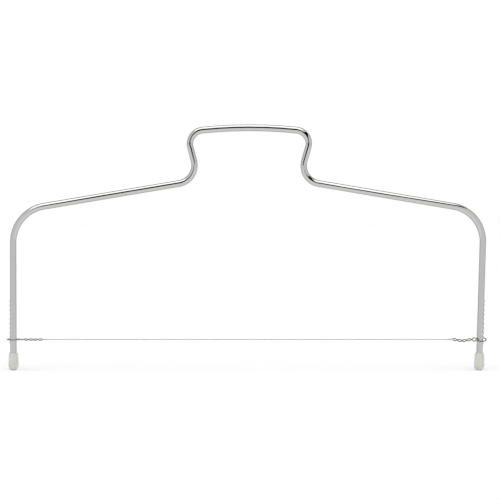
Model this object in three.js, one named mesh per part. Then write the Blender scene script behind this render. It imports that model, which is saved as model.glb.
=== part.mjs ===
import * as THREE from 'three';

// Cake leveler: one bent steel rod with notched legs, a vinyl tip on each foot,
// and a cutting wire whose twisted eyes ride up and down the notches.
// Millimetres, +Z up. X runs across the frame and Y through it, and -Y faces the viewer.
// The origin is on the table, midway between the feet.

// Driving dimensions of the frame, measured on the rod's centreline.
// lean is how far it leans to the right for each millimetre of height.

const rodDiameter = 4.3;
const legSpacing = 300.5;
const legToeIn = 1;
const shoulderHeight = 82.3;
const shoulderBendRadius = 23;
const neckWidth = 69.8;
const neckHeight = 131;
const neckBendRadius = 11.6;
const handleWidth = 75.9;
const handleHeight = 155.15;
const handleCornerRadius = 8.8;
const handleArchRadius = 300;
const lean = 0.0139;

// Driving dimensions of the notches, which stand on the outer side of each leg

const notchPitch = 2.9;
const notchCount = 9;
const notchCrest = 0.35;
const notchRoot = 0.08;

// Driving dimensions of the foot tips

const tipHeight = 11;
const tipDiameter = 6.6;
const tipWidestHeight = 3.5;
const tipMouthDiameter = 5.9;
const tipLipRadius = 0.45;
const tipFlatDiameter = 1;
const tipFloor = 2.2;
const tipClearance = 0.18;

// Driving dimensions of the cutting wire, which was twisted by hand, so its two ends differ.
// roll turns an eye about the wire, in degrees, and throatTurns is how far the strands turn
// about each other between the leg and the even twist.

const wireDiameter = 0.6;
const wireHeight = 19.7;
const eyeWidth = 6.2;
const eyeReach = 4.1;
const twistTurnLength = 6.1;
const twistTurns = 2;
const leadLength = 3;
const seamLength = 1;
const leftEnd = { roll: 3, sag: 0.1, throat: 6.5, throatTurns: 0, strandRadius: 0.5 };
const rightEnd = { roll: 20, sag: 0.8, throat: 5, throatTurns: 0.5, strandRadius: 0.7 };

// Facets

const rodSides = 20;
const wireSides = 8;
const tipSides = 24;
const bendStep = THREE.MathUtils.degToRad(7.5);
const notchSteps = 6;
const twistSteps = 24;
const throatSteps = 10;
const bightSteps = 14;
const domeSteps = 6;
const lipSteps = 3;

const rodRadius = rodDiameter / 2;
const wireRadius = wireDiameter / 2;
const legEndHeight = tipFloor + tipClearance;
const footSpacing = legSpacing - 2 * legToeIn;
const twistLength = twistTurns * twistTurnLength;
const up = new THREE.Vector3(0, 0, 1);

// Materials

const chrome = new THREE.MeshStandardMaterial({ color: 0xc9cac7, roughness: 0.12, metalness: 1 });
const vinyl = new THREE.MeshStandardMaterial({ color: 0xcfccc3, roughness: 0.5, metalness: 0 });
const wireSteel = new THREE.MeshStandardMaterial({ color: 0xb9bab2, roughness: 0.25, metalness: 1 });

// Sweep: a closed tube through frames of centre, tangent and normal.
// radiusAt gives the section's radius at a frame and an angle from the normal.

function sweep(frames, sides, radiusAt) {
  const positions = [];
  const indices = [];
  frames.forEach((frame) => {
    const across = new THREE.Vector3().crossVectors(frame.tangent, frame.normal);
    for (let side = 0; side < sides; side += 1) {
      const angle = (2 * Math.PI * side) / sides;
      const radius = radiusAt(frame, angle);
      const corner = frame.centre.clone();
      corner.addScaledVector(frame.normal, radius * Math.cos(angle));
      corner.addScaledVector(across, radius * Math.sin(angle));
      positions.push(corner.x, corner.y, corner.z);
    }
  });
  for (let ring = 0; ring + 1 < frames.length; ring += 1) {
    for (let side = 0; side < sides; side += 1) {
      const here = ring * sides + side;
      const beside = ring * sides + ((side + 1) % sides);
      indices.push(here, beside, here + sides);
      indices.push(beside, beside + sides, here + sides);
    }
  }
  const last = (frames.length - 1) * sides;
  for (let side = 1; side + 1 < sides; side += 1) {
    indices.push(0, side + 1, side);
    indices.push(last, last + side, last + side + 1);
  }
  const geometry = new THREE.BufferGeometry();
  geometry.setAttribute('position', new THREE.Float32BufferAttribute(positions, 3));
  geometry.setIndex(indices);
  geometry.computeVertexNormals();
  return geometry;
}

// Frame path: the rod is bent round posts, as on a wire former.
// turn is -1 where the rod bends clockwise round a post and 1 where it bends the other way.

function handlePosts() {
  const halfSpan = handleWidth / 2 - handleCornerRadius;
  const archDepth = handleArchRadius - handleCornerRadius;
  const archCentre = handleHeight - handleArchRadius;
  const cornerHeight = archCentre + Math.sqrt(archDepth ** 2 - halfSpan ** 2);
  return {
    corner: { x: -halfSpan, z: cornerHeight, radius: handleCornerRadius, turn: -1 },
    arch: { x: 0, z: archCentre, radius: handleArchRadius, turn: -1 },
  };
}

function framePosts() {
  const { corner, arch } = handlePosts();
  const half = [
    { x: -footSpacing / 2, z: legEndHeight, radius: 0, turn: 0 },
    { x: shoulderBendRadius - legSpacing / 2, z: shoulderHeight, radius: shoulderBendRadius, turn: -1 },
    { x: -neckWidth / 2 - neckBendRadius, z: neckHeight, radius: neckBendRadius, turn: 1 },
    corner,
  ];
  const otherHalf = half.map((post) => ({ ...post, x: -post.x })).reverse();
  return [...half, arch, ...otherHalf];
}

// Heading of the straight that leaves one post and meets the next

function headingBetween(post, next) {
  const distance = Math.hypot(next.x - post.x, next.z - post.z);
  const direction = Math.atan2(next.z - post.z, next.x - post.x);
  const offset = next.turn * next.radius - post.turn * post.radius;
  return direction - Math.asin(THREE.MathUtils.clamp(offset / distance, -1, 1));
}

// Point where the rod touches a post while it runs along a heading

function pointOnPost(post, heading) {
  const reach = -post.turn * post.radius;
  return { x: post.x - reach * Math.sin(heading), z: post.z + reach * Math.cos(heading), heading };
}

function frameStations() {
  const posts = framePosts();
  const stations = [];
  posts.forEach((post, index) => {
    const before = index > 0 ? headingBetween(posts[index - 1], post) : null;
    const after = index + 1 < posts.length ? headingBetween(post, posts[index + 1]) : null;
    const start = before ?? after;
    const turned = (after ?? before) - start;
    const steps = Math.ceil(Math.abs(turned) / bendStep);
    for (let step = 0; step <= steps; step += 1) {
      const heading = steps > 0 ? start + (turned * step) / steps : start;
      stations.push(pointOnPost(post, heading));
    }
  });
  return stations;
}

// Notches: a scalloped row of crests with a narrow seat for the wire between each two.
// A crest stands below the lowest seat and above the highest one, and fades into the plain rod.

function notchRise(height) {
  const place = (height - wireHeight) / notchPitch;
  if (place < -1 || place > notchCount) {
    return 0;
  }
  const wave = Math.abs(Math.sin(Math.PI * place));
  const nearest = Math.round(place);
  const isSeat = nearest >= 0 && nearest < notchCount;
  return notchCrest * wave - (isSeat ? notchRoot * (1 - wave) : 0);
}

function legStations(foot, shoulder) {
  const stations = [];
  for (let step = -notchSteps; step <= notchCount * notchSteps; step += 1) {
    const height = wireHeight + (notchPitch * step) / notchSteps;
    const share = (height - foot.z) / (shoulder.z - foot.z);
    const x = THREE.MathUtils.lerp(foot.x, shoulder.x, share);
    stations.push({ x, z: height, heading: foot.heading, rise: notchRise(height) });
  }
  return stations;
}

function bentRod() {
  const path = frameStations();
  const leftLeg = legStations(path[0], path[1]);
  const rightLeg = legStations(path.at(-1), path.at(-2)).reverse();
  const stations = [path[0], ...leftLeg, ...path.slice(1, -1), ...rightLeg, path.at(-1)];
  const frames = stations.map(({ x, z, heading, rise = 0 }) => ({
    centre: new THREE.Vector3(x, 0, z),
    tangent: new THREE.Vector3(Math.cos(heading), 0, Math.sin(heading)),
    normal: new THREE.Vector3(-Math.sin(heading), 0, Math.cos(heading)),
    rise,
  }));
  const notched = (frame, angle) => rodRadius + frame.rise * Math.max(0, Math.cos(angle)) ** 2;
  return sweep(frames, rodSides, notched);
}

// The bow leans as a whole. Its legs are as far left as right at the height of the wire.

function leaning(geometry) {
  geometry.applyMatrix4(new THREE.Matrix4().makeShear(0, 0, 0, 0, lean, 0));
  geometry.translate(-lean * wireHeight, 0, 0);
  return geometry;
}

// Place of a leg's centreline along X at a height above the table.
// side is -1 on the left and 1 on the right.

function legPlace(side, height) {
  const [foot, shoulder] = frameStations();
  const distance = -THREE.MathUtils.mapLinear(height, foot.z, shoulder.z, foot.x, shoulder.x);
  return side * distance + lean * (height - wireHeight);
}

// Foot tip: a soft cup over the end of the leg, with a domed sole and a small flat to stand on.
// Its walls follow the leg, and its sole stays level.

function footTip(side) {
  const outer = tipDiameter / 2;
  const mouth = tipMouthDiameter / 2;
  const flat = tipFlatDiameter / 2;
  const bore = rodRadius + tipClearance;
  const profile = [new THREE.Vector2(0, 0)];
  for (let step = 0; step <= domeSteps; step += 1) {
    const angle = (Math.PI / 2) * (step / domeSteps);
    const radius = flat + (outer - flat) * Math.sin(angle);
    profile.push(new THREE.Vector2(radius, tipWidestHeight * (1 - Math.cos(angle))));
  }
  for (let step = 0; step <= lipSteps; step += 1) {
    const angle = (Math.PI / 2) * (step / lipSteps);
    const radius = mouth - tipLipRadius * (1 - Math.cos(angle));
    profile.push(new THREE.Vector2(radius, tipHeight - tipLipRadius * (1 - Math.sin(angle))));
  }
  profile.push(new THREE.Vector2(bore, tipHeight));
  profile.push(new THREE.Vector2(bore, tipFloor));
  profile.push(new THREE.Vector2(0, tipFloor));
  const cup = new THREE.LatheGeometry(profile, tipSides);
  cup.rotateX(Math.PI / 2);
  const slope = (legPlace(side, tipHeight) - legPlace(side, 0)) / tipHeight;
  cup.applyMatrix4(new THREE.Matrix4().makeShear(0, 0, 0, 0, slope, 0));
  return cup;
}

// Wire end: a tail and the wire itself are twisted together, part round the leg as an eye,
// and meet again at the bight. inward is the distance from the leg's centreline towards
// the middle of the frame, and the strand's place round the twist is a radius and an angle.

function strandPoint(inward, radius, angle, drop) {
  return new THREE.Vector3(inward, -radius * Math.cos(angle), radius * Math.sin(angle) - drop);
}

function easeIn(share) {
  return THREE.MathUtils.smoothstep(share, 0, 1);
}

// Distance from a leg's centreline to where its wire end meets the span

function endReach(throat) {
  return throat + twistLength + leadLength + seamLength;
}

function wireEndPath({ roll, sag, throat, throatTurns, strandRadius }) {
  const fullTurn = 2 * Math.PI;
  const rollAngle = -THREE.MathUtils.degToRad(roll);
  const twistAngle = rollAngle + fullTurn * throatTurns;
  const bight = eyeWidth / 2;
  const points = [];
  const twist = (share, strand) => {
    const angle = twistAngle + strand * Math.PI + fullTurn * twistTurns * share;
    const drop = sag * Math.sin(Math.PI * share) ** 2;
    points.push(strandPoint(throat + twistLength * share, strandRadius, angle, drop));
  };
  const throatStrand = (share, strand) => {
    const spread = THREE.MathUtils.lerp(strandRadius, bight, easeIn(share));
    const angle = rollAngle + strand * Math.PI + fullTurn * throatTurns * (1 - share) ** 2;
    points.push(strandPoint(throat * (1 - share), spread, angle, 0));
  };
  for (let step = twistSteps; step > 0; step -= 1) {
    twist(step / twistSteps, 1);
  }
  for (let step = 0; step < throatSteps; step += 1) {
    throatStrand(step / throatSteps, 1);
  }
  for (let step = 0; step <= bightSteps; step += 1) {
    const sweepAngle = Math.PI * (step / bightSteps);
    const across = -bight * Math.cos(sweepAngle);
    points.push(strandPoint(-eyeReach * Math.sin(sweepAngle), across, rollAngle, 0));
  }
  for (let step = throatSteps - 1; step >= 0; step -= 1) {
    throatStrand(step / throatSteps, 0);
  }
  for (let step = 1; step <= twistSteps; step += 1) {
    twist(step / twistSteps, 0);
  }
  const leadAngle = twistAngle + fullTurn * twistTurns;
  for (let step = 1; step <= throatSteps; step += 1) {
    const share = step / throatSteps;
    const radius = strandRadius * (1 - easeIn(share));
    points.push(strandPoint(throat + twistLength + leadLength * share, radius, leadAngle, 0));
  }
  points.push(strandPoint(endReach(throat), 0, 0, 0));
  return points;
}

// Frames along a wire, each turned as little as may be from the one before

function wireFrames(points) {
  let normal = up;
  return points.map((centre, index) => {
    const before = points[Math.max(0, index - 1)];
    const after = points[Math.min(points.length - 1, index + 1)];
    const arriving = centre.clone().sub(before).normalize();
    const leaving = after.clone().sub(centre).normalize();
    const tangent = arriving.add(leaving).normalize();
    normal = normal.clone().addScaledVector(tangent, -normal.dot(tangent)).normalize();
    return { centre, tangent, normal };
  });
}

// Least gap between stretches of the wire that lie beside each other, measured on its points

function leastGap(points, diameter) {
  const apart = twistTurnLength / 2;
  const travelled = [0];
  for (let index = 1; index < points.length; index += 1) {
    travelled.push(travelled.at(-1) + points[index].distanceTo(points[index - 1]));
  }
  let least = Infinity;
  points.forEach((point, index) => {
    for (let other = index + 1; other < points.length; other += 1) {
      if (travelled[other] - travelled[index] > apart) {
        least = Math.min(least, point.distanceTo(points[other]) - diameter);
      }
    }
  });
  return least;
}

// The cutting wire has an end on each leg and a straight span between the two.
// They meet face to face.

function wireEnd(side, shape) {
  const leg = legPlace(side, wireHeight);
  const points = wireEndPath(shape).map(({ x, y, z }) => new THREE.Vector3(leg - side * x, y, z));
  console.log(`wire end ${side}: least gap to itself ${leastGap(points, wireDiameter).toFixed(2)} mm`);
  return sweep(wireFrames(points), wireSides, () => wireRadius);
}

function wireSpan() {
  const start = legPlace(-1, wireHeight) + endReach(leftEnd.throat);
  const end = legPlace(1, wireHeight) - endReach(rightEnd.throat);
  const points = [new THREE.Vector3(start, 0, 0), new THREE.Vector3(end, 0, 0)];
  return sweep(wireFrames(points), wireSides, () => wireRadius);
}

// Assembly

function namedMesh(name, geometry, material) {
  const mesh = new THREE.Mesh(geometry, material);
  mesh.name = name;
  return mesh;
}

function buildLeveler() {
  const leveler = new THREE.Group();
  leveler.name = 'cake_leveler';
  leveler.add(namedMesh('bent_frame', leaning(bentRod()), chrome));
  const leftTip = namedMesh('left_foot_tip', footTip(-1), vinyl);
  leftTip.position.x = legPlace(-1, 0);
  const rightTip = namedMesh('right_foot_tip', footTip(1), vinyl);
  rightTip.position.x = legPlace(1, 0);
  leveler.add(leftTip, rightTip);
  const wireGroup = new THREE.Group();
  wireGroup.position.z = wireHeight;
  wireGroup.add(namedMesh('left_wire_end', wireEnd(-1, leftEnd), wireSteel));
  wireGroup.add(namedMesh('wire_span', wireSpan(), wireSteel));
  wireGroup.add(namedMesh('right_wire_end', wireEnd(1, rightEnd), wireSteel));
  leveler.add(wireGroup);
  return leveler;
}

export default buildLeveler();
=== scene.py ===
"""Cake leveler for a baker's table.

A springy rod of chromed steel is bent into a bow with a raised handle. Each leg has a row of
notches on its outer side and a soft cup over its foot. A cutting wire spans the legs and is held
in the notches by an eye twisted at each of its ends.

Metres, +Z up. The bow lies in the XZ plane, its feet stand on the table at Z = 0, and the wire
runs along X. The camera looks along +Y.
"""

import logging
import math
from collections.abc import Callable, Iterator
from contextlib import contextmanager
from dataclasses import dataclass, field
from enum import Enum

import bmesh
import bpy
from mathutils import Matrix, Vector


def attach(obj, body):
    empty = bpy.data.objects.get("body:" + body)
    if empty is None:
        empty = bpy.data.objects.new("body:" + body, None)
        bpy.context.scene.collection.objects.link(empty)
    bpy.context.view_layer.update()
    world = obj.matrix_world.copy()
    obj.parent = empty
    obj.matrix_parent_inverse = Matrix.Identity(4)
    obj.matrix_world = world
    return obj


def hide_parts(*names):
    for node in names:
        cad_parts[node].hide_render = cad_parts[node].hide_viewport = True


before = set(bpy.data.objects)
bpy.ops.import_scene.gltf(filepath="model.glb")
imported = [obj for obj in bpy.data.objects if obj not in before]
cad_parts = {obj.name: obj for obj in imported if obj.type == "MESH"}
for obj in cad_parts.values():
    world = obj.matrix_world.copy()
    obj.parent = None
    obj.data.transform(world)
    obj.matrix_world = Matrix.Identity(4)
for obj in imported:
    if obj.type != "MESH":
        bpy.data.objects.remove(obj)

log = logging.getLogger("cake_leveler")

MM = 0.001
IMAGE_SIDE = 500
MERGE_DISTANCE = 0.001 * MM
MIRROR_DISTANCE = 0.01 * MM
Rgb = tuple[float, float, float]
Place = tuple[float, float, float]

# The row of notches, which the legs, their plating and the wire share

LOWEST_SEAT = 19.7 * MM
NOTCH_PITCH = 2.9 * MM
NOTCH_COUNT = 9


# Working with Blender's operators


def deselect_all() -> None:
    """Leaves no object selected, so that an operator acts on one piece only."""
    bpy.ops.object.select_all(action="DESELECT")
    bpy.context.view_layer.objects.active = None


def name_new(name: str) -> bpy.types.Object:
    """Names the object that an operator has just added, with its place in its mesh.

    Args:
        name: The piece's name, which its mesh gets too.

    Returns:
        The piece, at the origin and unturned.
    """
    piece = bpy.context.active_object
    piece.name = name
    piece.data.name = name
    bpy.ops.object.transform_apply(location=True, rotation=True, scale=True)
    return piece


@contextmanager
def editing(piece: bpy.types.Object) -> Iterator[None]:
    """Opens a piece in edit mode and closes it again.

    Args:
        piece: The piece whose mesh is shaped inside the with block.

    Yields:
        Nothing: the operators work on the open mesh.
    """
    deselect_all()
    piece.select_set(True)
    bpy.context.view_layer.objects.active = piece
    bpy.ops.object.mode_set(mode="EDIT")
    yield
    bpy.ops.object.mode_set(mode="OBJECT")


def select_where(piece: bpy.types.Object, wanted: Callable[[Vector], bool]) -> None:
    """Selects the vertices of an open mesh by their place, and nothing else.

    Args:
        piece: The piece that is open in edit mode.
        wanted: Says for a vertex's place whether it is selected.
    """
    bpy.ops.mesh.select_all(action="DESELECT")
    mesh = bmesh.from_edit_mesh(piece.data)
    for vertex in mesh.verts:
        vertex.select = wanted(vertex.co)
    mesh.select_flush(True)
    bmesh.update_edit_mesh(piece.data)


def extrude_ring(shift: Vector) -> None:
    """Draws the selected ring of edges out into a band of faces.

    Args:
        shift: How far the new ring lies from the old one.
    """
    bpy.ops.mesh.extrude_edges_move(TRANSFORM_OT_translate={"value": tuple(shift)})


def close_and_turn_out(piece: bpy.types.Object, crease: float) -> None:
    """Merges doubles, turns the faces outwards and smooths what is rounder than a crease.

    Args:
        piece: The piece to finish.
        crease: The angle in radians from which an edge stays sharp.
    """
    with editing(piece):
        bpy.ops.mesh.select_all(action="SELECT")
        bpy.ops.mesh.remove_doubles(threshold=MERGE_DISTANCE)
        bpy.ops.mesh.normals_make_consistent(inside=False)
    bpy.ops.object.shade_smooth_by_angle(angle=crease)


def shear_along_x(slope: float, shift: float) -> Matrix:
    """Makes the matrix that leans a mesh over.

    Args:
        slope: How far a point moves along +X for each unit of its height.
        shift: How far every point moves along +X besides.

    Returns:
        The matrix.
    """
    return Matrix(((1.0, 0.0, slope, shift), (0.0, 1.0, 0.0, 0.0), (0.0, 0.0, 1.0, 0.0), (0.0, 0.0, 0.0, 1.0)))


def dress_piece(piece: bpy.types.Object, material: bpy.types.Material) -> None:
    """Gives a piece its one material.

    Args:
        piece: The piece to dress.
        material: What its whole surface is made of.
    """
    piece.data.materials.clear()
    piece.data.materials.append(material)


# Building shaders

MIX_FIRST_COLOUR = 6
MIX_SECOND_COLOUR = 7
MIX_RESULT_COLOUR = 2
OPAQUE = 1.0


@dataclass
class NodeBench:
    """Adds and joins the nodes of one shader.

    Attributes:
        tree: The node tree that is worked on.
    """

    tree: bpy.types.NodeTree

    def add(self, kind: str, **settings: object) -> bpy.types.Node:
        """Adds a node.

        Args:
            kind: The node's type name.
            settings: Properties of the node, by name.

        Returns:
            The new node.
        """
        node = self.tree.nodes.new(kind)
        for name, value in settings.items():
            setattr(node, name, value)
        return node

    def feed(self, socket: bpy.types.NodeSocket, source: object) -> None:
        """Joins an output to a socket, or sets the socket to a plain value.

        Args:
            socket: The input that is fed.
            source: An output socket, a number or a colour.
        """
        if isinstance(source, bpy.types.NodeSocket):
            self.tree.links.new(source, socket)
        else:
            socket.default_value = source

    def split(self, vector: bpy.types.NodeSocket) -> bpy.types.bpy_prop_collection:
        """Splits a place or a direction.

        Args:
            vector: Its socket.

        Returns:
            The sockets of its parts, by the names X, Y and Z.
        """
        node = self.add("ShaderNodeSeparateXYZ")
        self.feed(node.inputs["Vector"], vector)
        return node.outputs

    def math(self, operation: str, *inputs: object) -> bpy.types.NodeSocket:
        """Works out a number from others.

        Args:
            operation: The Math node's operation.
            inputs: Numbers or output sockets, in the node's order.

        Returns:
            The result's socket.
        """
        node = self.add("ShaderNodeMath", operation=operation)
        for socket, source in zip(node.inputs, inputs):
            self.feed(socket, source)
        return node.outputs["Value"]

    def fade(
        self, value: object, start: object, end: object, low: object = 0.0, high: object = 1.0
    ) -> bpy.types.NodeSocket:
        """Goes smoothly from one number to another while a value goes from start to end.

        Args:
            value: The value that is followed.
            start: The value at which the result is low.
            end: The value at which the result is high.
            low: The first result.
            high: The last result.

        Returns:
            The result's socket.
        """
        node = self.add("ShaderNodeMapRange", interpolation_type="SMOOTHSTEP")
        sources = {"Value": value, "From Min": start, "From Max": end, "To Min": low, "To Max": high}
        for name, source in sources.items():
            self.feed(node.inputs[name], source)
        return node.outputs["Result"]

    def mix(self, share: object, first: object, second: object) -> bpy.types.NodeSocket:
        """Goes from one number to another by a share.

        Args:
            share: How much of the second number there is.
            first: The number at share 0.
            second: The number at share 1.

        Returns:
            The result's socket.
        """
        return self.math("MULTIPLY_ADD", share, self.math("SUBTRACT", second, first), first)

    def blend(self, share: object, first: object, second: object) -> bpy.types.NodeSocket:
        """Blends two colours.

        Args:
            share: How much of the second colour there is.
            first: The colour at share 0.
            second: The colour at share 1.

        Returns:
            The blended colour's socket.
        """
        node = self.add("ShaderNodeMix", data_type="RGBA")
        self.feed(node.inputs["Factor"], share)
        for place, source in ((MIX_FIRST_COLOUR, first), (MIX_SECOND_COLOUR, second)):
            is_socket = isinstance(source, bpy.types.NodeSocket)
            self.feed(node.inputs[place], source if is_socket else (*source, OPAQUE))
        return node.outputs[MIX_RESULT_COLOUR]

    def noise(self, place: bpy.types.NodeSocket, size: float, detail: float) -> bpy.types.NodeSocket:
        """Makes soft blotches.

        Args:
            place: The coordinates that the pattern follows.
            size: About how large a blotch is, in metres.
            detail: How many finer layers it has.

        Returns:
            The socket of a number about 0.5.
        """
        node = self.add("ShaderNodeTexNoise")
        self.feed(node.inputs["Vector"], place)
        self.feed(node.inputs["Scale"], 1 / size)
        self.feed(node.inputs["Detail"], detail)
        return node.outputs["Fac"]

    def bump(self, height: bpy.types.NodeSocket, depth: float, strength: float) -> bpy.types.NodeSocket:
        """Turns a height into a bumped normal.

        Args:
            height: The height's socket, from 0 to 1.
            depth: How deep a height of 1 is, in metres.
            strength: How much of the bump shows.

        Returns:
            The normal's socket.
        """
        node = self.add("ShaderNodeBump")
        self.feed(node.inputs["Height"], height)
        self.feed(node.inputs["Distance"], depth)
        self.feed(node.inputs["Strength"], strength)
        return node.outputs["Normal"]


@dataclass(frozen=True)
class Blotches:
    """Soft patches on a surface.

    Attributes:
        size: About how large a patch is.
        detail: How many finer layers the patches have.
        levels: The noise at which a patch begins and is full.
    """

    size: float
    detail: float
    levels: tuple[float, float]

    def spread(
        self, bench: NodeBench, place: bpy.types.NodeSocket, between: float = 0.0, inside: float = 1.0
    ) -> bpy.types.NodeSocket:
        """Lays the patches out.

        Args:
            bench: Where the nodes are added.
            place: The Object coordinates.
            between: The result between the patches.
            inside: The result in a patch.

        Returns:
            The result's socket.
        """
        return bench.fade(bench.noise(place, self.size, self.detail), *self.levels, between, inside)


@dataclass(frozen=True)
class Grain:
    """Fine marks that a surface can be felt to have.

    Attributes:
        size: About how large a mark is.
        detail: How many finer layers the marks have.
        depth: How deep they are.
        strength: How much of them shows.
    """

    size: float
    detail: float
    depth: float
    strength: float

    def normal(self, bench: NodeBench, place: bpy.types.NodeSocket) -> bpy.types.NodeSocket:
        """Presses the marks into the surface.

        Args:
            bench: Where the nodes are added.
            place: The Object coordinates.

        Returns:
            The bumped normal's socket.
        """
        return bench.bump(bench.noise(place, self.size, self.detail), self.depth, self.strength)


@dataclass(frozen=True)
class Finish:
    """What every finish has.

    Attributes:
        name: The material's name.
    """

    name: str

    def paint(self, bench: NodeBench, shader: bpy.types.Node, place: bpy.types.NodeSocket) -> None:
        """Sets the shader's sockets, which each finish does in its own way."""
        raise NotImplementedError

    def material(self) -> bpy.types.Material:
        """Makes the material on Object coordinates.

        Returns:
            The new material.
        """
        material = bpy.data.materials.new(self.name)
        material.use_nodes = True
        bench = NodeBench(material.node_tree)
        shader = material.node_tree.nodes["Principled BSDF"]
        place = bench.add("ShaderNodeTexCoord").outputs["Object"]
        self.paint(bench, shader, place)
        return material


@dataclass(frozen=True)
class ChromePlate(Finish):
    """Bright plating, rougher in the seats of the notches, where the wire rubs, and darker there with painted
    shade.

    Attributes:
        colour: The plating's colour.
        seat_shade_colour: Its colour in the seats, darkened there as painted shade.
        edge_tint: Its tint where the surface turns away.
        roughness: The roughness of clean and of handled plating.
        handling: The handled patches.
        grain: The finest marks.
        seat_roughness: How much rougher the plating is in a seat.
        seat_share: How far the painted shade and the rubbed roughness of a seat reach up and down, as a share
            of the pitch.
        row_margin_shares: Where the painted shade and the rubbed roughness are full and where they end past
            the outermost seats, as shares of the pitch.
        outer_side: How far from the middle a leg's outer side begins to get the painted shade and rubbed
            roughness, and where it gets them fully.
    """

    name: str = "chrome_plate"
    colour: Rgb = (0.72, 0.72, 0.712)
    # Painted shade: the seats of the notches are coloured darker.
    seat_shade_colour: Rgb = (0.58, 0.58, 0.565)
    edge_tint: Rgb = (0.82, 0.82, 0.82)
    roughness: tuple[float, float] = (0.045, 0.1)
    handling: Blotches = Blotches(size=9 * MM, detail=3.0, levels=(0.4, 0.65))
    grain: Grain = Grain(size=0.35 * MM, detail=2.0, depth=0.002 * MM, strength=0.2)
    seat_roughness: float = 0.2
    seat_share: float = 0.28
    row_margin_shares: tuple[float, float] = (0.4, 0.6)
    outer_side: tuple[float, float] = (150.2 * MM, 152.2 * MM)

    def paint(self, bench: NodeBench, shader: bpy.types.Node, place: bpy.types.NodeSocket) -> None:
        """Paints the plating.

        Args:
            bench: Where the nodes are added.
            shader: The Principled shader.
            place: The Object coordinates.
        """
        shaded_and_worn = self.seat_shade_and_wear(bench, place)
        handled = self.handling.spread(bench, place, *self.roughness)
        rough = bench.math("MULTIPLY_ADD", shaded_and_worn, self.seat_roughness, handled)
        # Painted shade darkens the seats' colour; the rubbing there raises their roughness.
        bench.feed(shader.inputs["Base Color"], bench.blend(shaded_and_worn, self.colour, self.seat_shade_colour))
        bench.feed(shader.inputs["Roughness"], rough)
        bench.feed(shader.inputs["Normal"], self.grain.normal(bench, place))
        bench.feed(shader.inputs["Metallic"], 1.0)
        bench.feed(shader.inputs["Specular Tint"], (*self.edge_tint, OPAQUE))

    def seat_shade_and_wear(self, bench: NodeBench, place: bpy.types.NodeSocket) -> bpy.types.NodeSocket:
        """Finds the seats of the notches, which get painted shade and rubbed roughness.

        Args:
            bench: Where the nodes are added.
            place: The Object coordinates.

        Returns:
            The socket of a number that is 1 in a seat and 0 elsewhere.
        """
        axes = bench.split(place)
        rise = bench.math("SUBTRACT", axes["Z"], LOWEST_SEAT)
        height = bench.math("DIVIDE", rise, NOTCH_PITCH)
        off_seat = bench.math("PINGPONG", height, 1 / 2)
        in_seat = bench.fade(off_seat, 0.0, self.seat_share, 1.0, 0.0)
        outside = bench.fade(bench.math("ABSOLUTE", axes["X"]), *self.outer_side)
        full, over = self.row_margin_shares
        highest = NOTCH_COUNT - 1
        above = bench.fade(height, -over, -full)
        below = bench.fade(height, highest + full, highest + over, 1.0, 0.0)
        on_leg = bench.math("MULTIPLY", outside, bench.math("MULTIPLY", above, below))
        return bench.math("MULTIPLY", in_seat, on_leg)


@dataclass(frozen=True)
class MilkyVinyl(Finish):
    """Soft dipped vinyl, which lets a little light through.

    Attributes:
        colour: Its colour where it is clean.
        dusty_colour: Its colour where it has picked up dust.
        roughness: Its least and greatest roughness.
        dust: The dusty patches.
        ripples: The ripples left by dipping.
        see_through: The share of light that passes through.
        glow: The share of light that spreads inside.
        glow_reach: How far that light spreads.
        glow_tint: How far each of its colours spreads, as a share of that.
        refraction: Its index of refraction.
    """

    name: str = "milky_vinyl"
    colour: Rgb = (0.88, 0.87, 0.815)
    dusty_colour: Rgb = (0.82, 0.81, 0.75)
    roughness: tuple[float, float] = (0.34, 0.5)
    dust: Blotches = Blotches(size=2.2 * MM, detail=4.0, levels=(0.42, 0.62))
    ripples: Grain = Grain(size=1.6 * MM, detail=1.0, depth=0.05 * MM, strength=0.5)
    see_through: float = 0.3
    glow: float = 0.3
    glow_reach: float = 1.5 * MM
    glow_tint: Rgb = (1.0, 0.9, 0.7)
    refraction: float = 1.45

    def paint(self, bench: NodeBench, shader: bpy.types.Node, place: bpy.types.NodeSocket) -> None:
        """Paints the vinyl.

        Args:
            bench: Where the nodes are added.
            shader: The Principled shader.
            place: The Object coordinates.
        """
        dusty = self.dust.spread(bench, place)
        bench.feed(shader.inputs["Base Color"], bench.blend(dusty, self.colour, self.dusty_colour))
        bench.feed(shader.inputs["Roughness"], bench.fade(dusty, 0.0, 1.0, *self.roughness))
        bench.feed(shader.inputs["Normal"], self.ripples.normal(bench, place))
        bench.feed(shader.inputs["Transmission Weight"], self.see_through)
        bench.feed(shader.inputs["Subsurface Weight"], self.glow)
        bench.feed(shader.inputs["Subsurface Scale"], self.glow_reach)
        bench.feed(shader.inputs["Subsurface Radius"], self.glow_tint)
        bench.feed(shader.inputs["IOR"], self.refraction)


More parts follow.
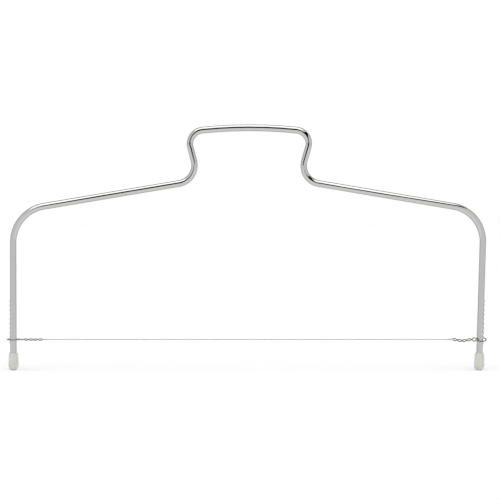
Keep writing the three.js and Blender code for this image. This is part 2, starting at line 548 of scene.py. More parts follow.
@dataclass(frozen=True)
class DrawnWire(Finish):
    """Drawn steel wire, bright where it is taut; where it was twisted by hand it is rougher, tarnished in
    patches, and darker with painted shade between the strands.

    Attributes:
        colour: Its colour along the taut span.
        left_twist_shade_colour: Its colour in the left twisted end, darkened as painted shade between the
            strands.
        right_twist_shade_colour: Its colour in the right twisted end, darker still, as painted shade between
            the strands and tarnish.
        roughness: Its roughness in the span and in the twists.
        twist_start: How far from the middle the painted shade and the rougher, tarnished part begin.
        twist_full: How far from the middle they are full.
        tarnish: The tarnished patches, where the painted shade and the roughness of the twists are greatest.
        shade_and_tarnish_levels: How much of the painted shade and the roughness the twists get between the
            patches and in them.
        grain: The drawing marks.
    """

    name: str = "drawn_wire"
    colour: Rgb = (0.66, 0.66, 0.63)
    # Painted shade: the twisted ends are coloured darker where the strands hide each other, the right one with
    # tarnish too.
    left_twist_shade_colour: Rgb = (0.3, 0.3, 0.29)
    right_twist_shade_colour: Rgb = (0.06, 0.053, 0.026)
    roughness: tuple[float, float] = (0.24, 0.36)
    twist_start: float = 126 * MM
    twist_full: float = 134 * MM
    tarnish: Blotches = Blotches(size=0.8 * MM, detail=3.0, levels=(0.35, 0.7))
    shade_and_tarnish_levels: tuple[float, float] = (0.65, 1.0)
    grain: Grain = Grain(size=0.1 * MM, detail=2.0, depth=0.004 * MM, strength=0.3)

    def paint(self, bench: NodeBench, shader: bpy.types.Node, place: bpy.types.NodeSocket) -> None:
        """Paints the wire.

        Args:
            bench: Where the nodes are added.
            shader: The Principled shader.
            place: The Object coordinates.
        """
        along = bench.split(place)["X"]
        twisted = bench.fade(bench.math("ABSOLUTE", along), self.twist_start, self.twist_full)
        # Painted shade between the twisted strands, in tarnished patches, darkens the ends' colour and raises
        # their roughness.
        twist_shade_and_tarnish = bench.math("MULTIPLY", twisted, self.tarnish.spread(bench, place, *self.shade_and_tarnish_levels))
        on_right = bench.math("GREATER_THAN", along, 0.0)
        twist_shade_colour = bench.blend(on_right, self.left_twist_shade_colour, self.right_twist_shade_colour)
        bench.feed(shader.inputs["Base Color"], bench.blend(twist_shade_and_tarnish, self.colour, twist_shade_colour))
        bench.feed(shader.inputs["Roughness"], bench.fade(twist_shade_and_tarnish, 0.0, 1.0, *self.roughness))
        bench.feed(shader.inputs["Normal"], self.grain.normal(bench, place))
        bench.feed(shader.inputs["Metallic"], 1.0)


@dataclass(frozen=True)
class Plain(Finish):
    """A plain dull colour, for the table, the screen and the stand.

    Attributes:
        colour: Its colour.
        roughness: Its roughness.
    """

    name: str = "table_top"
    colour: Rgb = (1.0, 1.0, 1.0)
    roughness: float = 0.9

    def paint(self, bench: NodeBench, shader: bpy.types.Node, place: bpy.types.NodeSocket) -> None:
        """Sets the plain colour.

        Args:
            bench: Where the values are set.
            shader: The Principled shader.
            place: The Object coordinates, which a plain colour doesn't need.
        """
        bench.feed(shader.inputs["Base Color"], (*self.colour, OPAQUE))
        bench.feed(shader.inputs["Roughness"], self.roughness)
        bench.feed(shader.inputs["Specular IOR Level"], 0.0)


# The bent rod


class Turn(Enum):
    """Which way the rod turns round a post, seen from the front and followed from the left foot."""

    NONE = 0
    CLOCKWISE = -1
    ANTICLOCKWISE = 1


class Side(Enum):
    """Which leg of the bow is meant, seen from the front."""

    LEFT = -1
    RIGHT = 1


@dataclass(frozen=True)
class Post:
    """A round post that the rod is bent around.

    Attributes:
        x: Its centre's place along X.
        z: Its centre's height.
        radius: The bend's radius on the rod's centreline.
        turn: Which way the rod turns round it.
    """

    x: float
    z: float
    radius: float
    turn: Turn

    def heading_to(self, other: "Post") -> float:
        """Works out the heading of the straight between two posts.

        Args:
            other: The post that the rod meets next.

        Returns:
            The heading in radians, from +X towards +Z.
        """
        distance = math.hypot(other.x - self.x, other.z - self.z)
        direction = math.atan2(other.z - self.z, other.x - self.x)
        offset = other.turn.value * other.radius - self.turn.value * self.radius
        return direction - math.asin(max(-1.0, min(1.0, offset / distance)))

    def touch(self, heading: float) -> Vector:
        """Finds where the rod touches the post.

        Args:
            heading: The rod's heading there.

        Returns:
            The point on the rod's centreline.
        """
        reach = -self.turn.value * self.radius
        return Vector((self.x - reach * math.sin(heading), 0.0, self.z + reach * math.cos(heading)))


@dataclass
class BentFrame:
    """The bow of chromed rod, with its handle and its notched legs.

    Attributes:
        rod_diameter: The rod's thickness.
        leg_spacing: The distance between the legs at the shoulders.
        leg_toe_in: How far each foot stands inside that.
        leg_end: The height of the leg's end above the table.
        shoulder_height: The height at which the shoulder's bend starts.
        shoulder_bend: The radius of that bend.
        neck_width: The least width between the necks.
        neck_height: The height of that narrowest place.
        neck_bend: The radius of the neck's bend.
        handle_width: The handle's width.
        handle_height: The handle's height.
        handle_corner: The radius of the handle's corners.
        handle_arch: The radius of the handle's arched top.
        notch_pitch: The distance from notch to notch.
        notch_count: How many notches each leg has.
        notch_crest: How far a crest stands out of the rod.
        notch_root: How far a seat lies inside the rod.
        lowest_seat: The height of the lowest notch.
        lean: How far the bow leans to the right for each unit of height.
        end_ring: How far above the rod's end its first plain ring lies.
        end_bevel: The size of the rounded edge at the rod's ends.
        bevel_steps: How many bands that edge has.
        sides: How many sides the rod's section has.
        notch_steps: How many rings of the mesh one notch takes.
        bend_step: The angle between two rings in a bend.
        crease: The angle from which an edge stays sharp.
        piece: The bow, once it is built.
    """

    rod_diameter: float = 4.3 * MM
    leg_spacing: float = 300.5 * MM
    leg_toe_in: float = 1 * MM
    leg_end: float = 2.38 * MM
    shoulder_height: float = 82.3 * MM
    shoulder_bend: float = 23 * MM
    neck_width: float = 69.8 * MM
    neck_height: float = 131 * MM
    neck_bend: float = 11.6 * MM
    handle_width: float = 75.9 * MM
    handle_height: float = 155.15 * MM
    handle_corner: float = 8.8 * MM
    handle_arch: float = 300 * MM
    notch_pitch: float = NOTCH_PITCH
    notch_count: int = NOTCH_COUNT
    notch_crest: float = 0.35 * MM
    notch_root: float = 0.08 * MM
    lowest_seat: float = LOWEST_SEAT
    lean: float = 0.0139
    end_ring: float = 1.2 * MM
    end_bevel: float = 0.4 * MM
    bevel_steps: int = 3
    sides: int = 48
    notch_steps: int = 12
    bend_step: float = math.radians(2.5)
    crease: float = math.radians(28)
    piece: bpy.types.Object | None = field(default=None, init=False)

    def posts(self) -> list[Post]:
        """Places the posts of the left half, from the foot to the top of the handle.

        Returns:
            The posts in the order in which the rod meets them.
        """
        half_span = self.handle_width / 2 - self.handle_corner
        arch_depth = self.handle_arch - self.handle_corner
        arch_centre = self.handle_height - self.handle_arch
        corner_height = arch_centre + math.sqrt(arch_depth**2 - half_span**2)
        shoulder = self.shoulder_bend - self.leg_spacing / 2
        return [
            Post(self.leg_toe_in - self.leg_spacing / 2, self.leg_end, 0.0, Turn.NONE),
            Post(shoulder, self.shoulder_height, self.shoulder_bend, Turn.CLOCKWISE),
            Post(-self.neck_width / 2 - self.neck_bend, self.neck_height, self.neck_bend, Turn.ANTICLOCKWISE),
            Post(-half_span, corner_height, self.handle_corner, Turn.CLOCKWISE),
            Post(0.0, arch_centre, self.handle_arch, Turn.CLOCKWISE),
        ]

    def leg_centre(self, height: float) -> Vector:
        """Finds the left leg's centreline at a height.

        Args:
            height: The height above the table.

        Returns:
            The point on the centreline.
        """
        foot, shoulder = self.posts()[:2]
        heading = foot.heading_to(shoulder)
        start = foot.touch(heading)
        return Vector((start.x + (height - start.z) / math.tan(heading), 0.0, height))

    def leg_place(self, side: Side, height: float) -> float:
        """Finds where a leg's centreline runs once the bow leans.

        Args:
            side: Which leg it is.
            height: The height above the table.

        Returns:
            Its place along X.
        """
        return -side.value * self.leg_centre(height).x + self.lean * (height - self.lowest_seat)

    def build(self) -> bpy.types.Object:
        """Draws the left half of the rod out ring by ring, and mirrors it.

        Returns:
            The finished piece.
        """
        posts = self.posts()
        rod = self.first_ring(posts)
        with editing(rod):
            bpy.ops.mesh.select_all(action="SELECT")
            self.draw_leg(posts)
            self.press_notches(rod)
            self.select_leg_top(rod, posts)
            self.bend_bow(posts)
            self.round_foot(rod, posts)
        self.mirror(rod)
        rod.data.transform(shear_along_x(self.lean, -self.lean * self.lowest_seat))
        close_and_turn_out(rod, self.crease)
        self.piece = rod
        return rod

    def first_ring(self, posts: list[Post]) -> bpy.types.Object:
        """Adds the ring that the rod grows from, square to the leg at its end.

        Args:
            posts: The posts of the left half.

        Returns:
            The new piece.
        """
        heading = posts[0].heading_to(posts[1])
        deselect_all()
        bpy.ops.mesh.primitive_circle_add(
            vertices=self.sides,
            radius=self.rod_diameter / 2,
            fill_type="NOTHING",
            location=posts[0].touch(heading),
            rotation=(0.0, math.pi / 2 - heading, 0.0),
        )
        return name_new("chromed_bow")

    def draw_leg(self, posts: list[Post]) -> None:
        """Draws the leg up to the shoulder, with closely set rings where it is notched.

        Args:
            posts: The posts of the left half.
        """
        heading = posts[0].heading_to(posts[1])
        seat, rise = self.lowest_seat, self.notch_pitch / self.notch_steps
        heights = [self.leg_end + self.end_ring, *(seat + rise * step for step in self.notch_rings())]
        points = [posts[0].touch(heading), *map(self.leg_centre, heights), posts[1].touch(heading)]
        for before, after in zip(points, points[1:]):
            extrude_ring(after - before)

    def notch_rings(self) -> range:
        """Counts the rings of the notched stretch, where 0 is the ring in the lowest seat."""
        return range(-self.notch_steps, self.notch_count * self.notch_steps + 1)

    def notch_rise(self, step: int) -> float:
        """Works out how far a ring stands out of the rod's outer side.

        Args:
            step: The ring's number.

        Returns:
            The rise, which is negative in a seat.
        """
        place = step / self.notch_steps
        wave = abs(math.sin(math.pi * place))
        is_seat = 0 <= round(place) < self.notch_count
        return self.notch_crest * wave - (self.notch_root * (1 - wave) if is_seat else 0.0)

    def press_notches(self, rod: bpy.types.Object) -> None:
        """Stretches the outer half of each ring of the notched stretch.

        Args:
            rod: The piece that is open in edit mode.
        """
        near = self.notch_pitch / self.notch_steps / 4
        for step in self.notch_rings():
            centre = self.leg_centre(self.lowest_seat + self.notch_pitch * step / self.notch_steps)
            stretch = 1 + self.notch_rise(step) / (self.rod_diameter / 2)
            select_where(rod, lambda place: abs(place.z - centre.z) < near and place.x < centre.x)
            bpy.ops.transform.resize(value=(stretch, 1.0, 1.0), center_override=centre)

    def select_leg_top(self, rod: bpy.types.Object, posts: list[Post]) -> None:
        """Selects the ring at which the shoulder's bend starts.

        Args:
            rod: The piece that is open in edit mode.
            posts: The posts of the left half.
        """
        top = posts[1].touch(posts[0].heading_to(posts[1])).z - self.rod_diameter / 2
        select_where(rod, lambda place: place.z > top)

    def bend_bow(self, posts: list[Post]) -> None:
        """Spins the open ring round each post and draws it straight to the next one.

        Args:
            posts: The posts of the left half.
        """
        for before, post, after in zip(posts, posts[1:], [*posts[2:], None]):
            arriving = before.heading_to(post)
            leaving = post.heading_to(after) if after else 0.0
            angle = arriving - leaving
            bpy.ops.mesh.spin(
                steps=math.ceil(abs(angle) / self.bend_step),
                angle=-angle,
                center=(post.x, 0.0, post.z),
                axis=(0.0, 1.0, 0.0),
            )
            if after and after.turn is not post.turn:
                extrude_ring(after.touch(leaving) - post.touch(leaving))

    def round_foot(self, rod: bpy.types.Object, posts: list[Post]) -> None:
        """Closes the rod's lower end and rounds its edge.

        Args:
            rod: The piece that is open in edit mode.
            posts: The posts of the left half.
        """
        select_where(rod, lambda place: place.z < posts[0].z + self.end_ring / 2)
        bpy.ops.mesh.edge_face_add()
        bpy.ops.mesh.bevel(offset=self.end_bevel, segments=self.bevel_steps, affect="EDGES")

    def mirror(self, rod: bpy.types.Object) -> None:
        """Mirrors the left half over the middle of the handle.

        Args:
            rod: The half rod.
        """
        bpy.ops.object.modifier_add(type="MIRROR")
        modifier = rod.modifiers[-1]
        modifier.merge_threshold = MIRROR_DISTANCE
        bpy.ops.object.modifier_apply(modifier=modifier.name)

    def dress(self, finish: Finish) -> None:
        """Plates the bow and lets it stand for its CAD node.

        Args:
            finish: What the rod is plated with.
        """
        dress_piece(self.piece, finish.material())
        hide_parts("bent_frame")
        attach(self.piece, "frame")


# The foot tips


@dataclass
class FootTip:
    """The soft cup over the end of a leg.

    Attributes:
        height: Its height.
        diameter: Its greatest diameter.
        widest_height: The height at which it is widest.
        mouth_diameter: Its diameter at the mouth.
        lip_radius: The rounding of its lip.
        sole_diameter: The diameter of the flat that it stands on.
        floor: The thickness of its sole.
        bore_diameter: The diameter of its bore.
        sides: How many sides it has round its axis.
        dome_steps: How many bands its dome has.
        lip_steps: How many bands its lip has.
        crease: The angle from which an edge stays sharp.
        pieces: The two cups, once they are built, by the names of their CAD nodes.
    """

    height: float = 11 * MM
    diameter: float = 6.6 * MM
    widest_height: float = 3.5 * MM
    mouth_diameter: float = 5.9 * MM
    lip_radius: float = 0.45 * MM
    sole_diameter: float = 1 * MM
    floor: float = 2.2 * MM
    bore_diameter: float = 4.66 * MM
    sides: int = 64
    dome_steps: int = 14
    lip_steps: int = 6
    crease: float = math.radians(40)
    pieces: dict[str, bpy.types.Object] = field(default_factory=dict, init=False)

    def profile(self) -> list[tuple[float, float]]:
        """Lists the rings of the cup, from the sole up the outside and down the bore.

        Returns:
            Pairs of radius and height.
        """
        outer = self.diameter / 2
        mouth = self.mouth_diameter / 2
        sole = self.sole_diameter / 2
        rings = []
        for step in range(self.dome_steps + 1):
            angle = math.pi / 2 * step / self.dome_steps
            rings.append((sole + (outer - sole) * math.sin(angle), self.widest_height * (1 - math.cos(angle))))
        for step in range(self.lip_steps + 1):
            angle = math.pi / 2 * step / self.lip_steps
            radius = mouth - self.lip_radius * (1 - math.cos(angle))
            rings.append((radius, self.height - self.lip_radius * (1 - math.sin(angle))))
        rings.append((self.bore_diameter / 2, self.height))
        rings.append((self.bore_diameter / 2, self.floor))
        return rings

    def build(self, bow: BentFrame) -> dict[str, bpy.types.Object]:
        """Models the cup once and puts one along each leg.

        Args:
            bow: The frame whose legs the cups follow.

        Returns:
            The two cups by the name of the CAD node that each stands for.
        """
        left = self.model()
        right = left.copy()
        right.data = left.data.copy()
        right.name = right.data.name = "right_cup"
        bpy.context.collection.objects.link(right)
        for side, cup in ((Side.LEFT, left), (Side.RIGHT, right)):
            foot = bow.leg_place(side, 0.0)
            slope = (bow.leg_place(side, self.height) - foot) / self.height
            cup.data.transform(shear_along_x(slope, foot))
        self.pieces = {"left_foot_tip": left, "right_foot_tip": right}
        return self.pieces

    def model(self) -> bpy.types.Object:
        """Draws an upright cup from its sole over the lip and down the bore.

        Returns:
            The finished cup, with its axis along Z.
        """
        rings = self.profile()
        deselect_all()
        bpy.ops.mesh.primitive_circle_add(vertices=self.sides, radius=rings[0][0], fill_type="NOTHING")
        cup = name_new("left_cup")
        with editing(cup):
            bpy.ops.mesh.select_all(action="SELECT")
            for (radius, height), (next_radius, next_height) in zip(rings, rings[1:]):
                extrude_ring(Vector((0.0, 0.0, next_height - height)))
                growth = next_radius / radius
                bpy.ops.transform.resize(value=(growth, growth, 1.0), center_override=(0.0, 0.0, next_height))
            bpy.ops.mesh.edge_face_add()
            select_where(cup, lambda place: place.z < MERGE_DISTANCE)
            bpy.ops.mesh.edge_face_add()
        close_and_turn_out(cup, self.crease)
        return cup

    def dress(self, finish: Finish) -> None:
        """Makes the cups of vinyl and lets them stand for their CAD nodes.

        Args:
            finish: What the cups are made of.
        """
        material = finish.material()
        for node, cup in self.pieces.items():
            dress_piece(cup, material)
            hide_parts(node)
            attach(cup, "frame")


# The cutting wire


def shares(steps: int) -> list[float]:
    """Divides a whole into equal steps, from 0 to 1."""
    return [step / steps for step in range(steps + 1)]


def smooth(share: float) -> float:
    """Eases a share in and out, from 0 to 1."""
    return share * share * (3 - 2 * share)


def strand_point(inward: float, radius: float, angle: float, drop: float = 0.0) -> Vector:
    """Places a point of a strand.

    Args:
        inward: Its distance from the leg's centreline towards the middle.
        radius: Its distance from the twist's axis.
        angle: Its place round that axis.
        drop: How far the axis hangs below the span there.

    Returns:
        The point, with X counted inwards from the leg and Z from the span.
    """
    return Vector((inward, -radius * math.cos(angle), radius * math.sin(angle) - drop))


class Strand(Enum):
    """One of the two strands of a twist, by its angle from the one that becomes the span."""

    SPAN = 0.0
    TAIL = math.pi


@dataclass(frozen=True)
class WireEnd:
    """How one twisted end of the wire lies.

    Attributes:
        roll: How far its eye is rolled about the wire, in radians.
        sag: How far its twist hangs below the span.
        throat: How far inside the leg's centreline the even twist starts.
        throat_turns: How far the strands turn about each other before that, in turns.
        strand_radius: The distance of a strand from the twist's axis.
    """

    roll: float
    sag: float
    throat: float
    throat_turns: float
    strand_radius: float


@dataclass
class CuttingWire:
    """The taut wire with an eye twisted at each end.

    Attributes:
        diameter: The wire's thickness.
        height: The height of the span above the table.
        eye_width: The width of an eye across the leg.
        eye_reach: How far an eye reaches out past the leg's centreline.
        turn_length: The length of one turn of the twist.
        turns: How many turns it has.
        lead: The length over which the span leaves the twist.
        left: How the left end lies.
        right: How the right end lies.
        twist_steps: How many points one strand of a twist takes.
        throat_steps: How many points one side of a throat takes.
        bight_steps: How many points the outer bow of an eye takes.
        roundness: The resolution of the wire's section.
        crease: The angle from which an edge stays sharp.
        piece: The wire, once it is built.
    """

    diameter: float = 0.6 * MM
    height: float = LOWEST_SEAT
    eye_width: float = 6.2 * MM
    eye_reach: float = 4.1 * MM
    turn_length: float = 6.1 * MM
    turns: int = 2
    lead: float = 3 * MM
    left: WireEnd = WireEnd(
        roll=math.radians(3), sag=0.1 * MM, throat=6.5 * MM, throat_turns=0.0, strand_radius=0.5 * MM
    )
    right: WireEnd = WireEnd(
        roll=math.radians(20), sag=0.8 * MM, throat=5 * MM, throat_turns=0.5, strand_radius=0.7 * MM
    )
    twist_steps: int = 72
    throat_steps: int = 24
    bight_steps: int = 40
    roundness: int = 3
    crease: float = math.radians(40)
    piece: bpy.types.Object | None = field(default=None, init=False)

    def end_points(self, end: WireEnd) -> list[Vector]:
        """Follows one end of the wire from its tail through the eye and back into the span.

        Args:
            end: How this end lies.

        Returns:
            The points, counted as strand_point says.
        """
        tail = [self.twist_point(end, share, Strand.TAIL) for share in shares(self.twist_steps)]
        way_in = [self.throat_point(end, share, Strand.TAIL) for share in shares(self.throat_steps)]
        bight = [self.bight_point(end, share) for share in shares(self.bight_steps)]
        way_out = [self.throat_point(end, share, Strand.SPAN) for share in shares(self.throat_steps)]
        twist = [self.twist_point(end, share, Strand.SPAN) for share in shares(self.twist_steps)]
        lead = [self.lead_point(end, share) for share in shares(self.throat_steps)]
        # The tail and the way out run backwards, and a point that two stretches share is kept once.
        return [*tail[:0:-1], *way_in[:-1], *bight, *way_out[-2::-1], *twist[1:], *lead[1:]]

    def twist_angle(self, end: WireEnd, share: float) -> float:
        """Works out how far the strands have turned, a share of the way along the even twist."""
        return 2 * math.pi * (end.throat_turns + self.turns * share) - end.roll

    def twist_point(self, end: WireEnd, share: float, strand: Strand) -> Vector:
        """Places a point of a strand in the even twist.

        Args:
            end: How this end lies.
            share: How much of the way from the throat to the span is done.
            strand: Which strand it is on.

        Returns:
            The point, counted as strand_point says.
        """
        angle = self.twist_angle(end, share) + strand.value
        drop = end.sag * math.sin(math.pi * share) ** 2
        inward = end.throat + self.turns * self.turn_length * share
        return strand_point(inward, end.strand_radius, angle, drop)

    def throat_point(self, end: WireEnd, share: float, strand: Strand) -> Vector:
        """Places a point of a strand in the throat, where the strands part round the leg.

        Args:
            end: How this end lies.
            share: How much of the way from the twist to the leg is done.
            strand: Which strand it is on.

        Returns:
            The point, counted as strand_point says.
        """
        spread = end.strand_radius + (self.eye_width / 2 - end.strand_radius) * smooth(share)
        angle = 2 * math.pi * end.throat_turns * (1 - share) ** 2 - end.roll + strand.value
        return strand_point(end.throat * (1 - share), spread, angle)

    def bight_point(self, end: WireEnd, share: float) -> Vector:
        """Places a point of the eye's outer bow.

        Args:
            end: How this end lies.
            share: How much of the way round the bow is done.

        Returns:
            The point, counted as strand_point says.
        """
        angle = math.pi * share
        across = -self.eye_width / 2 * math.cos(angle)
        return strand_point(-self.eye_reach * math.sin(angle), across, -end.roll)

    def lead_point(self, end: WireEnd, share: float) -> Vector:
        """Places a point of the lead, where the span comes back from the twist to its axis.

        Args:
            end: How this end lies.
            share: How much of the way along the lead is done.

        Returns:
            The point, counted as strand_point says.
        """
        inward = end.throat + self.turns * self.turn_length + self.lead * share
        radius = end.strand_radius * (1 - smooth(share))
        return strand_point(inward, radius, self.twist_angle(end, 1.0))

    def path(self, bow: BentFrame) -> list[Vector]:
        """Joins both ends by the span.

        Args:
            bow: The frame whose legs carry the eyes.

        Returns:
            The points of the wire's centreline, from the left tail to the right one.
        """
        sides = []
        for side, end in ((Side.LEFT, self.left), (Side.RIGHT, self.right)):
            leg = Vector((bow.leg_place(side, self.height), 0.0, self.height))
            inward = Vector((-side.value, 1, 1))
            sides.append([leg + inward * point for point in self.end_points(end)])
        left, right = sides
        return [*left, *reversed(right)]

    def build(self, bow: BentFrame) -> bpy.types.Object:
        """Makes the wire of a curve, because no primitive has its twists, and turns it to mesh.

        Args:
            bow: The frame whose legs carry the eyes.

        Returns:
            The finished piece.
        """
        points = self.path(bow)
        deselect_all()
        bpy.ops.curve.primitive_nurbs_path_add()
        curve = bpy.context.active_object
        curve.data.splines.clear()
        spline = curve.data.splines.new("POLY")
        spline.points.add(len(points) - 1)
        for knot, point in zip(spline.points, points):
            knot.co = (*point, 1.0)
        curve.data.bevel_depth = self.diameter / 2
        curve.data.bevel_resolution = self.roundness
        curve.data.use_fill_caps = True
        bpy.ops.object.convert(target="MESH")
        wire = name_new("twisted_wire")
        close_and_turn_out(wire, self.crease)
        self.piece = wire
        return wire

    def dress(self, finish: Finish) -> None:
        """Gives the wire its steel and lets it stand for its CAD nodes.

        Args:
            finish: What the wire is made of.
        """
        dress_piece(self.piece, finish.material())
        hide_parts("left_wire_end", "wire_span", "right_wire_end")
        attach(self.piece, "wire")


# The studio


def keep_for_mirrors(prop: bpy.types.Object) -> None:
    """Paints a prop black and shows it only where the plating mirrors it.

    Args:
        prop: The prop.
    """
    dress_piece(prop, Plain(name="dull_black", colour=(0.0, 0.0, 0.0)).material())
    prop.visible_camera = prop.visible_diffuse = False
    prop.visible_shadow = prop.visible_transmission = False


@dataclass
class Studio:
    """A white table under a soft dome of light.

    The dome has a bright panel from in front of the bow to behind it, a white backdrop on the
    horizon behind with a dark wall above it, a grey ring round the rest of the horizon and a
    lighter ground. A dark screen in front draws the thin dark line along the rod, and the arm of
    a lamp stand draws the short black streaks in the bends on the right.

    An edge in the dome is given by a part of the direction to it: across for X and height for Z,
    where 1 is straight to the right or straight up.

    Attributes:
        table_side: The table's width.
        panel: The panel's brightness.
        mirrored_panel: Its brightness as the plating mirrors it.
        panel_across: The panel's left and right edge.
        panel_edge_front: The height at which the panel starts in front.
        panel_edge_back: The same behind.
        panel_blur: How far above and below that height it fades.
        overhead: The heights between which the whole dome grows as bright as the panel.
        rim_front: The brightness at the horizon in front.
        rim_back: The same behind.
        ground_front: The brightness below the horizon in front.
        ground_back: The same behind.
        ground_edge: The heights between which the dome fades into the ground.
        turn: How far before and behind the bow the front of the dome fades into its back.
        backdrop: The backdrop's brightness.
        backdrop_half_width: Half its width.
        backdrop_half_height: Half its height.
        wall: The brightness of the wall above it.
        wall_half_width: Half the wall's width.
        wall_top: The height of its top.
        edge_blur: How far outside and inside their edges the panel, backdrop and wall fade.
        screen_low: The screen's lower left corner.
        screen_high: Its upper right corner.
        arm_start: Where the stand's arm starts.
        arm_end: Where it ends.
        arm_radius: Half its thickness.
    """

    table_side: float = 8.0
    panel: float = 2.3
    mirrored_panel: float = 1.5
    panel_across: tuple[float, float] = (-0.55, 0.38)
    panel_edge_front: float = 0.66
    panel_edge_back: float = 0.93
    panel_blur: float = 0.05
    overhead: tuple[float, float] = (0.82, 0.92)
    rim_front: float = 0.7
    rim_back: float = 0.5
    ground_front: float = 0.8
    ground_back: float = 0.62
    ground_edge: tuple[float, float] = (-0.05, -0.2)
    turn: float = 0.15
    backdrop: float = 1.2
    backdrop_half_width: float = 0.7
    backdrop_half_height: float = 0.13
    wall: float = 0.1
    wall_half_width: float = 0.4
    wall_top: float = 0.9
    edge_blur: float = 0.0125
    screen_low: Place = (-0.23, -0.41, 0.14)
    screen_high: Place = (0.13, -0.41, 0.593)
    arm_start: Place = (0.093, -0.294, 0.192)
    arm_end: Place = (0.319, -0.021, 0.403)
    arm_radius: float = 0.038

    def build(self) -> None:
        """Sets the table, the screen and the stand's arm and hangs the dome."""
        self.set_table()
        self.set_screen()
        self.set_arm()
        self.hang_dome()
        bpy.context.scene.view_settings.view_transform = "Standard"

    def set_table(self) -> None:
        """Adds the table top, which keeps the shadow but isn't mirrored in the plating."""
        deselect_all()
        bpy.ops.mesh.primitive_plane_add(size=self.table_side, location=(0.0, 0.0, 0.0))
        table = name_new("table_top")
        dress_piece(table, Plain().material())
        table.visible_glossy = False

    def set_screen(self) -> None:
        """Adds the dark screen in front of the bow."""
        low, high = Vector(self.screen_low), Vector(self.screen_high)
        deselect_all()
        bpy.ops.mesh.primitive_plane_add(size=1.0, location=(low + high) / 2, rotation=(math.pi / 2, 0.0, 0.0))
        bpy.context.active_object.scale = (high.x - low.x, high.z - low.z, 1.0)
        keep_for_mirrors(name_new("dark_screen"))

    def set_arm(self) -> None:
        """Adds the stand's dark arm."""
        start, end = Vector(self.arm_start), Vector(self.arm_end)
        along = end - start
        deselect_all()
        bpy.ops.mesh.primitive_cylinder_add(
            radius=self.arm_radius,
            depth=along.length,
            location=(start + end) / 2,
            rotation=along.to_track_quat("Z", "Y").to_euler(),
        )
        keep_for_mirrors(name_new("stand_arm"))

    def hang_dome(self) -> None:
        """Gives the world its zones of brightness, and shows plain white to the camera."""
        world = bpy.data.worlds.new("studio_dome")
        world.use_nodes = True
        bpy.context.scene.world = world
        bench = NodeBench(world.node_tree)
        lit = self.zones(bench, bench.split(bench.add("ShaderNodeTexCoord").outputs["Generated"]))
        path = bench.add("ShaderNodeLightPath").outputs
        cap = bench.mix(path["Is Glossy Ray"], self.panel, self.mirrored_panel)
        shown = bench.math("MINIMUM", lit, cap)
        strength = bench.mix(path["Is Camera Ray"], shown, 1.0)
        background = world.node_tree.nodes["Background"]
        bench.feed(background.inputs["Color"], (1.0, 1.0, 1.0, OPAQUE))
        bench.feed(background.inputs["Strength"], strength)

    def zones(self, bench: NodeBench, axes: bpy.types.bpy_prop_collection) -> bpy.types.NodeSocket:
        """Works out the brightness of the dome.

        Args:
            bench: Where the nodes are added.
            axes: The sockets of the direction's parts.

        Returns:
            The brightness's socket.
        """
        across, deep, tall = (axes[name] for name in "XYZ")
        edge = bench.fade(deep, -self.turn, self.turn, self.panel_edge_front, self.panel_edge_back)
        rim = bench.fade(deep, -self.turn, self.turn, self.rim_front, self.rim_back)
        ground = bench.fade(deep, -self.turn, self.turn, self.ground_front, self.ground_back)
        start = bench.math("SUBTRACT", edge, self.panel_blur)
        raised = bench.fade(tall, start, bench.math("ADD", edge, self.panel_blur))
        beside = self.band(bench, across, *self.panel_across)
        overhead = bench.fade(tall, *self.overhead)
        on_panel = bench.math("MULTIPLY", raised, bench.math("MAXIMUM", beside, overhead))
        upper = bench.mix(on_panel, rim, self.panel)
        around = bench.mix(bench.fade(tall, *self.ground_edge), upper, ground)
        far = bench.math("GREATER_THAN", deep, 0.0)
        low, high = -self.backdrop_half_height, self.backdrop_half_height
        for tone, half_width, bottom, top in (
            (self.backdrop, self.backdrop_half_width, low, high),
            (self.wall, self.wall_half_width, high, self.wall_top),
        ):
            beside = self.band(bench, across, -half_width, half_width)
            within = bench.math("MULTIPLY", beside, self.band(bench, tall, bottom, top))
            around = bench.mix(bench.math("MULTIPLY", far, within), around, tone)
        return around

    def band(
        self, bench: NodeBench, place: bpy.types.NodeSocket, start: float, end: float
    ) -> bpy.types.NodeSocket:
        """Finds a soft-edged band of directions.

        Args:
            bench: Where the nodes are added.
            place: The socket of the direction's part that the band is measured along.
            start: The band's start.
            end: Its end.

        Returns:
            The socket of a number that is 1 in the band and 0 outside it.
        """
        begun = bench.fade(place, start - self.edge_blur, start + self.edge_blur)
        unended = bench.fade(place, end - self.edge_blur, end + self.edge_blur, 1.0, 0.0)
        return bench.math("MULTIPLY", begun, unended)


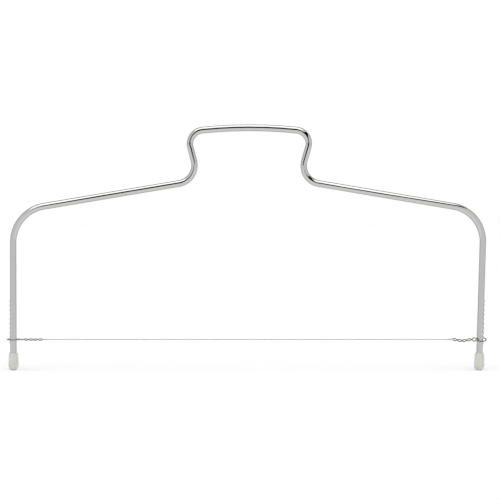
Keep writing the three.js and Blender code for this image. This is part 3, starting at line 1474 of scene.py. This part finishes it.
@dataclass
class ViewCamera:
    """The camera, which looks at the bow from the front and from very little above.

    Attributes:
        distance: Its distance from the bow.
        elevation: How far above the horizon it looks from, in radians.
        metres_per_pixel: How much of the bow one pixel covers.
        middle_column: The column of the image that shows the bow's middle.
        table_row: The row of the image that shows the soles of the feet.
        sensor_width: The camera's sensor, in millimetres.
        reach: How far the camera sees.
    """

    distance: float = 1.3
    elevation: float = math.radians(2)
    metres_per_pixel: float = 0.64 * MM
    middle_column: float = 246.65
    table_row: float = 370.45
    sensor_width: float = 36.0
    reach: float = 100.0

    def build(self) -> bpy.types.Object:
        """Adds the camera and makes it the scene's.

        Returns:
            The camera.
        """
        aim_x = (IMAGE_SIDE / 2 - self.middle_column) * self.metres_per_pixel
        aim_z = (self.table_row - IMAGE_SIDE / 2) * self.metres_per_pixel
        away = Vector((0.0, -math.cos(self.elevation), math.sin(self.elevation)))
        data = bpy.data.cameras.new("view_camera")
        data.sensor_width = self.sensor_width
        data.lens = self.sensor_width * self.distance / (IMAGE_SIDE * self.metres_per_pixel)
        data.clip_end = self.reach
        camera = bpy.data.objects.new("view_camera", data)
        bpy.context.collection.objects.link(camera)
        camera.location = Vector((aim_x, 0.0, aim_z)) + away * self.distance
        camera.rotation_euler = (math.pi / 2 - self.elevation, 0.0, 0.0)
        bpy.context.scene.camera = camera
        return camera


# The whole leveler


def report(piece: bpy.types.Object) -> None:
    """Logs a finished piece's name and how many faces it has."""
    log.info("%s: %d faces", piece.name, len(piece.data.polygons))


def main() -> None:
    """Builds the leveler piece by piece, then the studio and the camera."""
    logging.basicConfig(level=logging.INFO, format="%(message)s")
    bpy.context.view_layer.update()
    bow = BentFrame()
    report(bow.build())
    bow.dress(ChromePlate())
    tips = FootTip()
    for cup in tips.build(bow).values():
        report(cup)
    tips.dress(MilkyVinyl())
    wire = CuttingWire()
    report(wire.build(bow))
    wire.dress(DrawnWire())
    Studio().build()
    log.info("studio: table, screen, arm and dome")
    ViewCamera().build()
    log.info("camera: in place")


if __name__ == "__main__":
    main()
